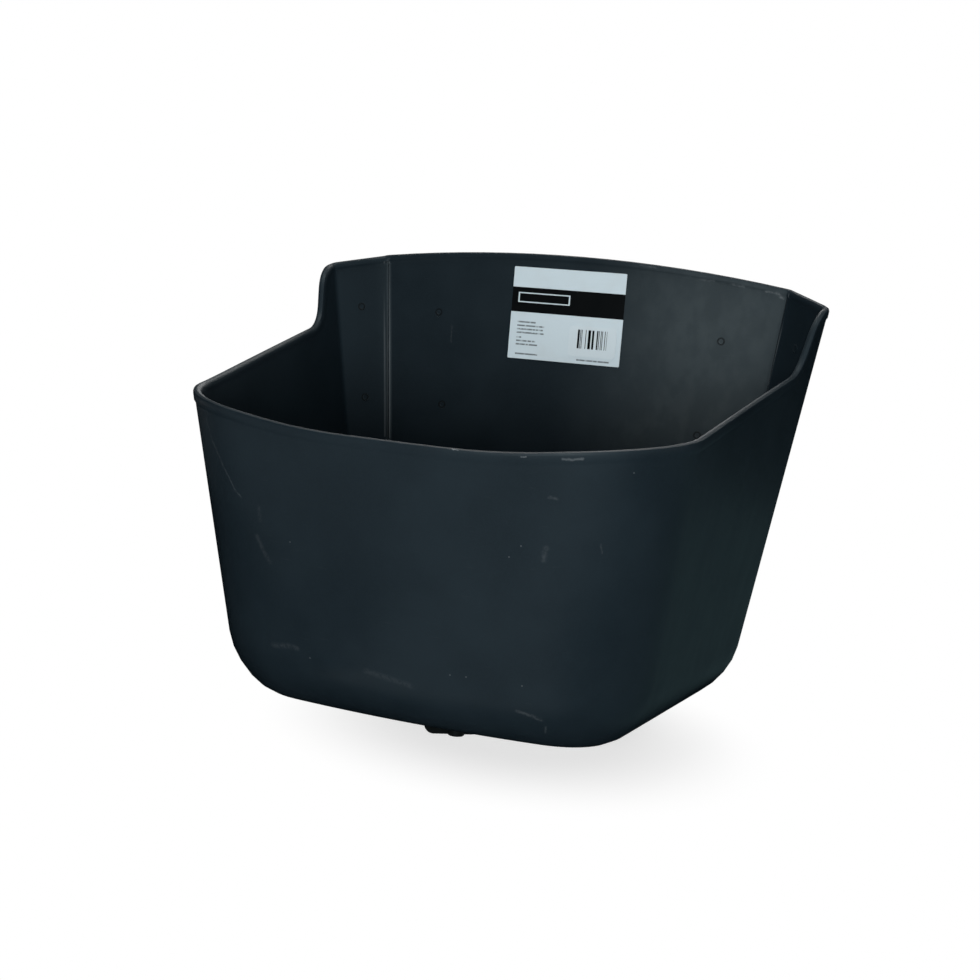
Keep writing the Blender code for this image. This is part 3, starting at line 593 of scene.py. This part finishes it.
def paper(finish, colour, ink):
    """Coated paper under a layer of ink, a little wavy and soiled."""
    fibres = finish.noise(*FIBRE_PATTERN)
    soil = finish.ramp(finish.noise(*SOIL_PATTERN), *SOIL_STEP)
    waves = finish.noise(*PAPER_WAVE_PATTERN)
    tone = finish.blend(finish.math("MULTIPLY", soil, SOIL_SHARE), colour, SOIL)
    tone = finish.blend(finish.ramp(fibres, *FIBRE_STEP), tone, FIBRES)
    tone = finish.blend(ink, tone, INK)
    finish.set(Base_Color=tone, Roughness=finish.ramp(soil, *PAPER_ROUGHNESS_STEP))
    finish.set(Specular_IOR_Level=PAPER_SHEEN)
    height = finish.math("ADD", waves, finish.math("MULTIPLY", fibres, FIBRE_RELIEF_SHARE))
    finish.bump(height, PAPER_RELIEF_HEIGHT, PAPER_RELIEF_STRENGTH)


def dashed_rows(finish, across, below):
    """Grey dashes of chance darkness in every row."""
    rows = [printed_box(finish, across, below, start, end, level, level + ROW_HEIGHT_SHARE)
            for start, end, level in ROW_SHARES]
    cell = finish.add("ShaderNodeCombineXYZ")
    finish.feed(cell.inputs["X"], cell_number(finish, across, DASH_COUNT))
    finish.feed(cell.inputs["Y"], cell_number(finish, below, 1.0 / DASH_HEIGHT_SHARE))
    chance = finish.add("ShaderNodeTexWhiteNoise", noise_dimensions="2D")
    finish.feed(chance.inputs["Vector"], cell.outputs["Vector"])
    return finish.math("MULTIPLY", finish.most(rows), finish.ramp(chance.outputs["Value"], *DASH_STEP))


def label_finish():
    """Printed label: a black band with an outlined strip in it, and rows of grey dashes below."""
    finish = Finish("label_print")
    across, below = sheet_shares(finish, "label")
    left, right, top, bottom = STRIP_SHARES
    line = STRIP_LINE_SHARE
    strip = printed_box(finish, across, below, left, right, top, bottom)
    inside = printed_box(finish, across, below, left + line, right - line, top + line, bottom - line)
    outline = finish.math("SUBTRACT", strip, inside)
    band = finish.math("SUBTRACT", between(finish, below, *BAND_SHARES), outline)
    paper(finish, LABEL_PAPER, finish.math("MAXIMUM", band, dashed_rows(finish, across, below)))
    return finish


def tag_finish():
    """Small tag with a block of plain bars."""
    finish = Finish("tag_print")
    across, below = sheet_shares(finish, "label_tag")
    block = printed_box(finish, across, below, *BAR_SHARES)
    chance = finish.add("ShaderNodeTexWhiteNoise", noise_dimensions="1D")
    finish.feed(chance.inputs["W"], cell_number(finish, across, BAR_COUNT))
    bars = finish.math("GREATER_THAN", chance.outputs["Value"], BAR_BLANK_SHARE)
    paper(finish, TAG_PAPER, finish.math("MULTIPLY", block, bars))
    return finish


def dress_nodes():
    """Gives every CAD node its material."""
    trough_finish().dress("trough_shell")
    drain = drain_finish()
    drain.dress("drain_plug")
    drain.dress("drain_nut")
    seal_finish().dress("plug_seal")
    label_finish().dress("label")
    tag_finish().dress("label_tag")


# Nodes that are shaded smoothly. Points within the merge distance count as one, and edges above the
# sharp angle stay sharp.
MOULDED = ("trough_shell", "drain_plug", "drain_nut", "plug_seal")
MERGE_DISTANCE = 0.000002
SHARP_ANGLE = math.radians(40.0)
# Where back wall and panels meet, edges stay sharp from a smaller angle on. These edges rise more
# steeply than the rise, are nearer to the plane of symmetry than the limit, and lie behind a Y.
CREASE_ANGLE = math.radians(12.0)
CREASE_RISE = 0.9
CREASE_LIMIT = 0.172
CREASE_BEHIND = 0.135


def vector_part(tree, vector, axis):
    """A vector's part along X, Y or Z."""
    node = tree.nodes.new("ShaderNodeSeparateXYZ")
    feed(tree, node.inputs["Vector"], vector)
    return node.outputs[axis]


def crease_edges(tree, angle):
    """1 on the upright edges where back wall and panels meet."""
    ends = tree.nodes.new("GeometryNodeInputMeshEdgeVertices").outputs
    run = work_out(tree, VECTOR, "SUBTRACT", ends["Position 1"], ends["Position 2"])
    rise = vector_part(tree, work_out(tree, VECTOR, "NORMALIZE", run), "Z")
    place = tree.nodes.new("GeometryNodeInputPosition").outputs["Position"]
    off_middle = work_out(tree, SCALAR, "ABSOLUTE", vector_part(tree, place, "X"))
    chosen = work_out(tree, SCALAR, "GREATER_THAN", work_out(tree, SCALAR, "ABSOLUTE", rise), CREASE_RISE)
    for test in (
        work_out(tree, SCALAR, "GREATER_THAN", angle, CREASE_ANGLE),
        work_out(tree, SCALAR, "LESS_THAN", off_middle, CREASE_LIMIT),
        work_out(tree, SCALAR, "GREATER_THAN", vector_part(tree, place, "Y"), CREASE_BEHIND),
    ):
        chosen = work_out(tree, SCALAR, "MULTIPLY", chosen, test)
    return chosen


def smooth_shading():
    """Geometry nodes that shade a moulded surface smoothly and keep its real edges sharp."""
    tree = bpy.data.node_groups.new("smooth_shading", "GeometryNodeTree")
    for way in ("INPUT", "OUTPUT"):
        tree.interface.new_socket("Geometry", in_out=way, socket_type="NodeSocketGeometry")
    merged = tree.nodes.new("GeometryNodeMergeByDistance")
    merged.inputs["Distance"].default_value = MERGE_DISTANCE
    smooth = tree.nodes.new("GeometryNodeSetShadeSmooth")
    smooth.domain = "FACE"
    sharp = tree.nodes.new("GeometryNodeSetShadeSmooth")
    sharp.domain = "EDGE"
    sharp.inputs["Shade Smooth"].default_value = False
    angle = tree.nodes.new("GeometryNodeInputMeshEdgeAngle").outputs["Unsigned Angle"]
    bent = work_out(tree, SCALAR, "GREATER_THAN", angle, SHARP_ANGLE)
    kept = work_out(tree, SCALAR, "MAXIMUM", crease_edges(tree, angle), bent)
    feed(tree, sharp.inputs["Selection"], kept)
    geometry = tree.nodes.new("NodeGroupInput").outputs["Geometry"]
    for node in (merged, smooth, sharp):
        feed(tree, node.inputs["Geometry"], geometry)
        geometry = node.outputs["Geometry"]
    feed(tree, tree.nodes.new("NodeGroupOutput").inputs["Geometry"], geometry)
    return tree


def smooth_nodes():
    """Shades the moulded CAD nodes smoothly."""
    shading = smooth_shading()
    for name in MOULDED:
        nodes[name].modifiers.new("smooth_shading", "NODES").node_group = shading
        nodes[name].modifiers.new("weighted_normals", "WEIGHTED_NORMAL").keep_sharp = True


# The pale floor, which looks plain white outside a pool that keeps the trough's soft shadow
FLOOR_SIZE = 6.0
FLOOR_COLOUR = (0.55, 0.55, 0.55, 1.0)
FLOOR_ROUGHNESS = 0.9
FLOOR_GLOW = 0.62
POOL_CENTRE = Vector((0.03, 0.03, 0.0))
POOL_STRETCH = (1.0, 1.4, 1.0)
POOL_STEP = (0.06, 0.19)
# How strongly the white surroundings light the scene
WORLD_FILL = 0.06


def seen_directly(tree):
    """1 for rays that come from the camera, straight or by way of a reflection or glass."""
    path = tree.nodes.new("ShaderNodeLightPath")
    total = path.outputs["Is Camera Ray"]
    for name in ("Is Glossy Ray", "Is Transmission Ray"):
        total = work_out(tree, SCALAR, "MAXIMUM", total, path.outputs[name])
    return total


def white_glow(finish, strength):
    """White light that a surface gives off."""
    node = finish.add("ShaderNodeEmission")
    finish.feed(node.inputs["Color"], WHITE)
    finish.feed(node.inputs["Strength"], strength)
    return node.outputs["Emission"]


def floor_finish():
    """Pale floor that looks plain white outside its pool."""
    finish = Finish("floor_white")
    finish.set(Base_Color=FLOOR_COLOUR, Roughness=FLOOR_ROUGHNESS, Specular_IOR_Level=0.0)
    seen = seen_directly(finish.tree)
    pool = finish.add("ShaderNodeAddShader")
    finish.feed(pool.inputs[0], finish.shader.outputs["BSDF"])
    finish.feed(pool.inputs[1], white_glow(finish, finish.math("MULTIPLY", seen, FLOOR_GLOW)))
    offset = finish.vector("MULTIPLY", finish.offset_from(POOL_CENTRE), POOL_STRETCH)
    away = finish.ramp(finish.vector("LENGTH", offset), *POOL_STEP)
    whole = finish.add("ShaderNodeMixShader")
    finish.feed(whole.inputs["Fac"], finish.math("MULTIPLY", away, seen))
    finish.feed(whole.inputs[1], pool.outputs["Shader"])
    finish.feed(whole.inputs[2], white_glow(finish, 1.0))
    finish.feed(finish.tree.nodes["Material Output"].inputs["Surface"], whole.outputs["Shader"])
    return finish


def add_sheet(finish, name, left, right, front, back, height=0.0):
    """A rectangle that belongs to the studio and not to the trough."""
    mesh = bpy.data.meshes.new(name)
    corners = [(left, front, height), (right, front, height), (right, back, height), (left, back, height)]
    mesh.from_pydata(corners, [], [(0, 1, 2, 3)])
    mesh.materials.append(finish.material)
    sheet = bpy.data.objects.new(name, mesh)
    scene.collection.objects.link(sheet)
    return sheet


def tilt_with_floor(sheet):
    """Gives a sheet the floor's place and tilt."""
    sheet.location = FLOOR_TOUCH
    sheet.rotation_euler.x = FLOOR_TILT


def add_floor():
    """The floor that the tipped trough stands on."""
    half = FLOOR_SIZE / 2
    tilt_with_floor(add_sheet(floor_finish(), "floor", -half, half, -half, half))


def add_world():
    """White wherever the camera looks past the floor, dim as a source of light."""
    world = bpy.data.worlds.new("studio")
    world.use_nodes = True
    scene.world = world
    tree = world.node_tree
    fill = tree.nodes["Background"]
    fill.inputs["Color"].default_value = WHITE
    fill.inputs["Strength"].default_value = WORLD_FILL
    white = tree.nodes.new("ShaderNodeBackground")
    white.inputs["Color"].default_value = WHITE
    mix = tree.nodes.new("ShaderNodeMixShader")
    feed(tree, mix.inputs["Fac"], seen_directly(tree))
    feed(tree, mix.inputs[1], fill.outputs["Background"])
    feed(tree, mix.inputs[2], white.outputs["Background"])
    feed(tree, tree.nodes["World Output"].inputs["Surface"], mix.outputs["Shader"])


# Soft lamps: azimuth from straight ahead towards +X and elevation in degrees, size in metres, watts
LAMPS = {
    "front": (10, 2, 0.5, 27.5),
    "right": (30, -2, 0.5, 9.0),
    "far_right": (48, -2, 0.5, 3.0),
    "top": (0, 85, 0.8, 14.0),
    "back": (195, 30, 0.8, 26.0),
}
LAMP_DISTANCE = 2.0
LAMP_AIM = Vector((0.0, 0.0, 0.15))


def add_lamps():
    """The square area lamps, all aimed at the middle of the trough."""
    for name, (azimuth, elevation, size, watts) in LAMPS.items():
        turn, rise = math.radians(azimuth), math.radians(elevation)
        towards = Vector((math.sin(turn) * math.cos(rise), -math.cos(turn) * math.cos(rise), math.sin(rise)))
        light = bpy.data.lights.new(name, "AREA")
        light.size = size
        light.energy = watts
        lamp = bpy.data.objects.new(name, light)
        lamp.location = LAMP_AIM + towards * LAMP_DISTANCE
        lamp.rotation_euler = towards.to_track_quat("Z", "Y").to_euler()
        scene.collection.objects.link(lamp)


# Dark cards that the sheen mirrors in place of white surroundings. Upright ones: centre, the place
# that they face, width and height.
CARDS = {
    "card_right": (Vector((0.38, 0.28, 0.455)), Vector((0.19, 0.06, 0.32)), 0.60, 0.80),
    "card_far_left": (Vector((-1.20, -0.05, 0.45)), Vector((-0.10, 0.0, 0.20)), 1.40, 1.20),
    "card_left": (Vector((-1.02, -1.22, 0.60)), Vector((0.0, 0.16, 0.20)), 1.30, 1.20),
    "card_behind": (Vector((-0.50, 0.60, 0.40)), Vector((-0.10, 0.05, 0.20)), 2.20, 1.20),
}
# Ones just above the floor: least and most X, least and most Y along it, and how strongly they glow
FLOOR_CARDS = {
    "card_floor_right": (0.15, 0.95, -0.30, 1.20, 0.14),
    "card_floor_left": (-0.95, -0.09, -0.34, 1.20, 0.0),
    "card_floor_under": (-0.09, 0.15, -0.13, 1.20, 0.0),
}
CARD_LIFT = 0.006
CARD_TINT = (0.55, 0.95, 1.0, 1.0)


def add_card(name, edges, height=0.0, glow=0.0):
    """A dark sheet out of the camera's sight, without a shadow or a share in the diffuse light."""
    finish = Finish(name)
    finish.set(Base_Color=BLACK, Roughness=1.0, Specular_IOR_Level=0.0)
    finish.set(Emission_Color=CARD_TINT, Emission_Strength=glow)
    card = add_sheet(finish, name, *edges, height)
    card.visible_camera = False
    card.visible_shadow = False
    card.visible_diffuse = False
    return card


def add_cards():
    """The cards that stand round the trough and the ones that lie just above the floor."""
    for name, (centre, facing, width, height) in CARDS.items():
        card = add_card(name, (-width / 2, width / 2, -height / 2, height / 2))
        card.location = centre
        card.rotation_euler = (facing - centre).to_track_quat("Z", "Y").to_euler()
    for name, (*edges, glow) in FLOOR_CARDS.items():
        tilt_with_floor(add_card(name, edges, CARD_LIFT, glow))


bpy.context.view_layer.update()
add_camera()
dress_nodes()
smooth_nodes()
add_floor()
add_world()
add_lamps()
add_cards()
